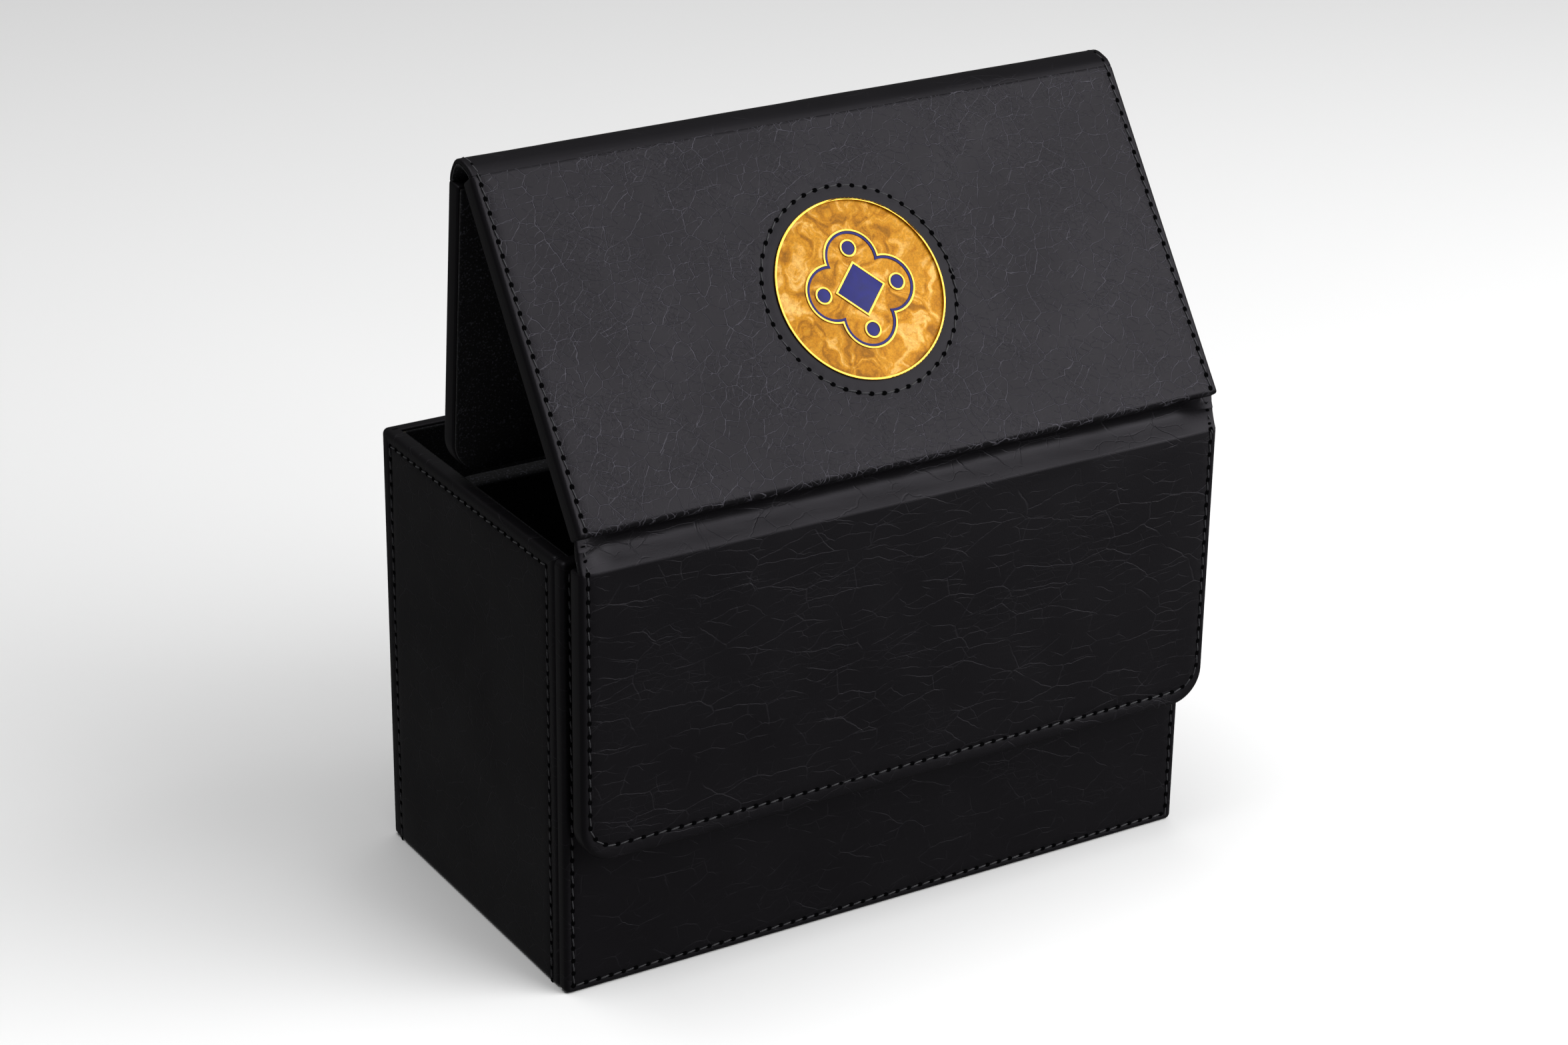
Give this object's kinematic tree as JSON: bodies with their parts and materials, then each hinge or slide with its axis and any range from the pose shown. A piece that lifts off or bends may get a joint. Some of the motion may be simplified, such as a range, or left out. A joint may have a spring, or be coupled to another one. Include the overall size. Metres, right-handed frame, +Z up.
{
  "type": "card deck box",
  "caption": "Open rigid card box in stitched leatherette with a loose folding three-panel lid, a round enamelled medallion on the top panel and a lift-out divider.",
  "frame": {"origin": "middle of the box's underside, which is the face that it stands on", "axes": "+X to the right along the long side, +Y to the back wall, +Z up; the lid's front flap lies over the front wall, at -Y"},
  "size_m": [0.1586, 0.0917, 0.1731],
  "materials": {
    "leatherette": "satin, crinkled grain",
    "suede": "brushed microfibre, matte",
    "greyboard": "matte",
    "magnet": "nickel plated",
    "thread": "twisted polyester",
    "gilt_metal": "polished gilt",
    "pearl_enamel": "pearlescent resin enamel",
    "blue_enamel": "gloss resin enamel"
  },
  "bodies": {
    "box": {"back_wall_board": "greyboard", "back_wall_cover": "leatherette", "back_wall_lining": "suede", "back_wall_magnets": "magnet", "back_wall_thread": "thread", "base_board": "greyboard", "base_cover": "leatherette", "base_lining": "suede", "front_wall_board": "greyboard", "front_wall_cover": "leatherette", "front_wall_lining": "suede", "front_wall_magnets": "magnet", "front_wall_thread": "thread", "left_wall_board": "greyboard", "left_wall_cover": "leatherette", "left_wall_lining": "suede", "left_wall_thread": "thread", "right_wall_board": "greyboard", "right_wall_cover": "leatherette", "right_wall_lining": "suede", "right_wall_thread": "thread"},
    "front_flap": {"front_flap_board": "greyboard", "front_flap_cover": "leatherette", "front_flap_lining": "suede", "front_flap_magnets": "magnet", "front_flap_thread": "thread", "front_spine_leather": "leatherette", "front_spine_lining": "suede"},
    "top_panel": {"medallion_blue_enamel": "blue_enamel", "medallion_cup": "gilt_metal", "medallion_emblem": "gilt_metal", "medallion_field": "pearl_enamel", "medallion_thread": "thread", "ridge_spine_leather": "leatherette", "ridge_spine_lining": "suede", "top_panel_board": "greyboard", "top_panel_cover": "leatherette", "top_panel_lining": "suede", "top_panel_thread": "thread"},
    "back_flap": {"back_flap_board": "greyboard", "back_flap_cover": "leatherette", "back_flap_lining": "suede", "back_flap_magnets": "magnet", "back_flap_thread": "thread"},
    "divider": {"divider_board": "greyboard", "divider_cover": "suede"}
  },
  "joints": [
    {"name": "lid_lift_off", "type": "slide", "parent": "box", "child": "front_flap", "axis": [0, 0, 1], "range_m": [0, 0.08]},
    {"name": "top_panel_fold", "type": "hinge", "parent": "front_flap", "child": "top_panel", "pos_m": [0, -0.0506, 0.1046], "axis": [1, 0, 0], "range_deg": [0, 155], "deforming": ["front_spine_leather", "front_spine_lining"]},
    {"name": "back_flap_fold", "type": "hinge", "parent": "top_panel", "child": "back_flap", "pos_m": [0, 0.00155, 0.17082], "axis": [1, 0, 0], "range_deg": [0, 139], "deforming": ["ridge_spine_leather", "ridge_spine_lining"]},
    {"name": "divider_lift", "type": "slide", "parent": "box", "child": "divider", "axis": [0, 0, 1], "range_m": [0, 0.097]}
  ]
}
